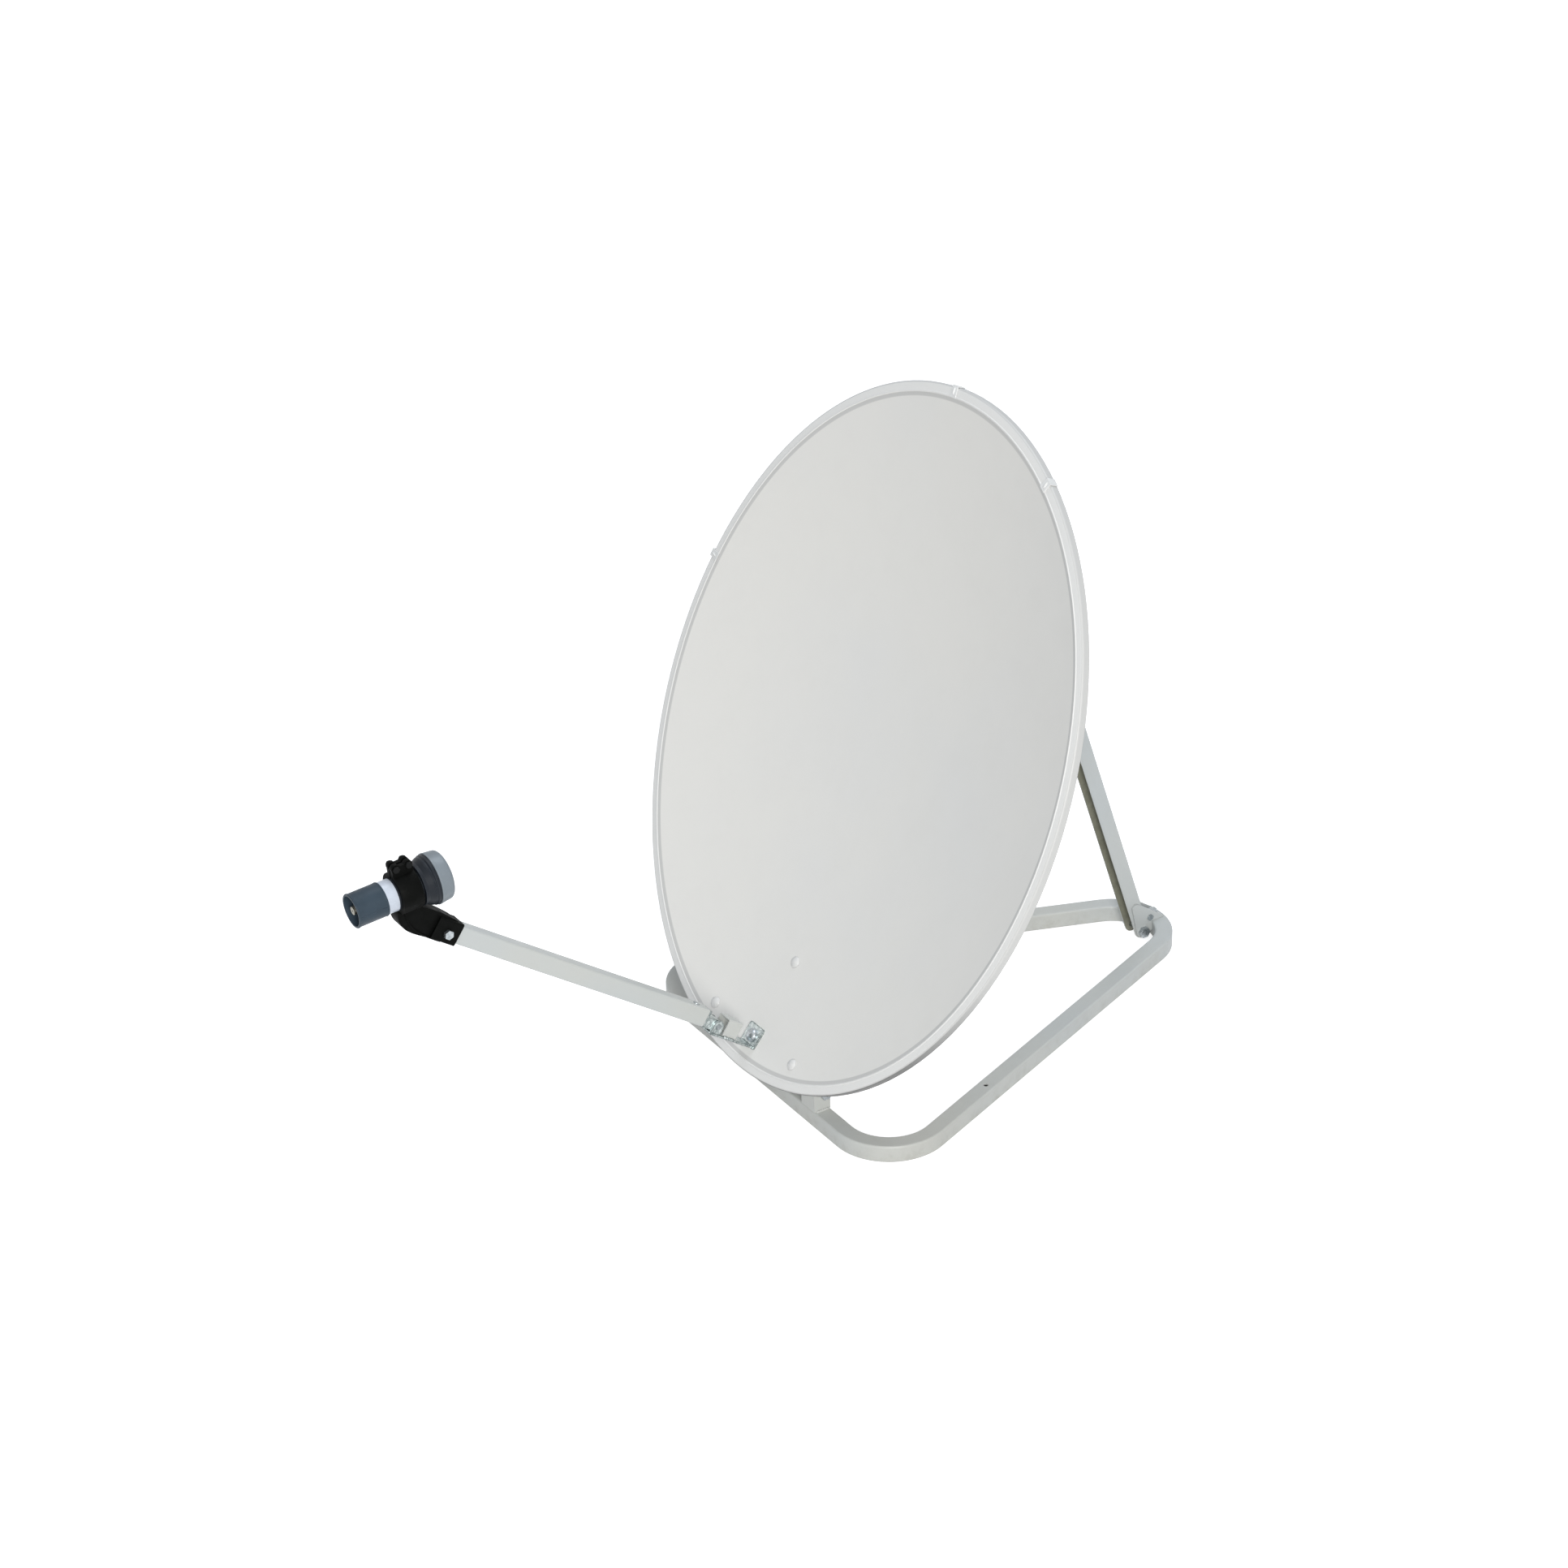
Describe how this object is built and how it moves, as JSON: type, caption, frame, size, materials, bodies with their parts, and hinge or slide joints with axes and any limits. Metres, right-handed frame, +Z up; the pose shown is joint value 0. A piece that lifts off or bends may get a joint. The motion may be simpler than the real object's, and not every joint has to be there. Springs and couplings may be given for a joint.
{
  "type": "satellite dish",
  "caption": "Portable offset satellite dish on a folding ground stand, with a telescopic rear strut, a folding feed arm and a clamped low-noise block.",
  "frame": {"origin": "on the ground under the middle of the front tube of the base loop", "axes": "+Z up, -Y the way the dish looks, +X across the dish, parallel to the tilt axis"},
  "size_m": [0.7499, 1.1122, 0.7999],
  "materials": {
    "frame_paint": "off-white powder coat, satin",
    "dish_paint": "light grey powder coat, satin",
    "clip_white": "white moulded nylon",
    "zinc_sheet": "bright zinc-plated pressed steel",
    "zinc_hardware": "zinc-plated fasteners",
    "painted_bolts": "fasteners coated with the dish",
    "black_hardware": "black-coated fasteners",
    "black_plastic": "black moulded nylon",
    "lnb_slate": "dark slate moulded ABS",
    "lnb_collar_grey": "dark grey moulded ABS",
    "lnb_cap_grey": "mid grey moulded polypropylene",
    "lnb_band_pale": "pale plain band",
    "connector_plate": "nickel-plated brass"
  },
  "bodies": {
    "base": {"base_loop": "frame_paint", "hinge_post_left": "frame_paint", "hinge_post_right": "frame_paint", "frame_pivot_bolts": "zinc_hardware", "frame_pivot_nuts": "zinc_hardware", "foot_bracket": "frame_paint", "foot_bracket_screw": "zinc_hardware", "strut_stop_pin": "zinc_hardware", "strut_pivot_bolt": "zinc_hardware", "strut_pivot_nut": "zinc_hardware"},
    "dish": {"reflector": "dish_paint", "back_frame": "frame_paint", "lower_bracket": "frame_paint", "upper_bracket": "frame_paint", "bracket_bolts": "zinc_hardware", "bracket_nuts": "zinc_hardware", "face_bolts": "painted_bolts", "face_nuts": "zinc_hardware", "rim_clips": "clip_white", "strut_top_clevis": "frame_paint", "strut_top_bolt": "zinc_hardware", "strut_top_nut": "zinc_hardware", "arm_hinge_bracket": "zinc_sheet", "arm_base_washer": "zinc_hardware", "arm_base_bolt": "zinc_hardware", "arm_base_nut": "zinc_hardware", "arm_stub": "frame_paint", "arm_hinge_pin": "zinc_hardware"},
    "strut_lower": {"strut_channel": "frame_paint"},
    "strut_upper": {"strut_bar": "frame_paint", "strut_clamp_bolt": "zinc_hardware", "strut_wing_nut": "black_plastic"},
    "feed_arm": {"arm_hinge_tongue": "zinc_sheet", "arm_rivet": "zinc_hardware", "feed_arm": "frame_paint", "lnb_holder": "black_plastic", "holder_clamp_screws": "black_hardware", "holder_clamp_nuts": "black_hardware", "holder_bolt": "zinc_hardware", "holder_nut": "zinc_hardware"},
    "lnb": {"lnb_body": "lnb_slate", "f_connector": "connector_plate", "lnb_band": "lnb_band_pale", "lnb_collar": "lnb_collar_grey", "lnb_cap": "lnb_cap_grey"}
  },
  "joints": [
    {"name": "dish_tilt", "type": "hinge", "parent": "base", "child": "dish", "pos_m": [0, 0.0035, 0.045], "axis": [-1, 0, 0], "range_deg": [-10, 10]},
    {"name": "strut_swing", "type": "hinge", "parent": "base", "child": "strut_lower", "pos_m": [0, 0.5625, 0.011], "axis": [-1, 0, 0], "range_deg": [-7.2, 7.2]},
    {"name": "strut_link", "type": "hinge", "parent": "dish", "child": "strut_upper", "pos_m": [0, 0.35457, 0.64465], "axis": [-1, 0, 0], "range_deg": [-3.4, 3.4]},
    {"name": "arm_fold", "type": "hinge", "parent": "dish", "child": "feed_arm", "pos_m": [0, -0.06248, 0.0953], "axis": [-1, 0, 0], "range_deg": [0, 78]},
    {"name": "lnb_skew", "type": "hinge", "parent": "feed_arm", "child": "lnb", "pos_m": [0, -0.41108, 0.41049], "axis": [0, 0.9966, 0.0828], "range_deg": [-30, 30]}
  ],
  "couplings": [
    {"joint": "strut_swing", "follows": "dish_tilt", "ratio": 0.6902},
    {"joint": "strut_link", "follows": "dish_tilt", "ratio": -0.3098}
  ]
}
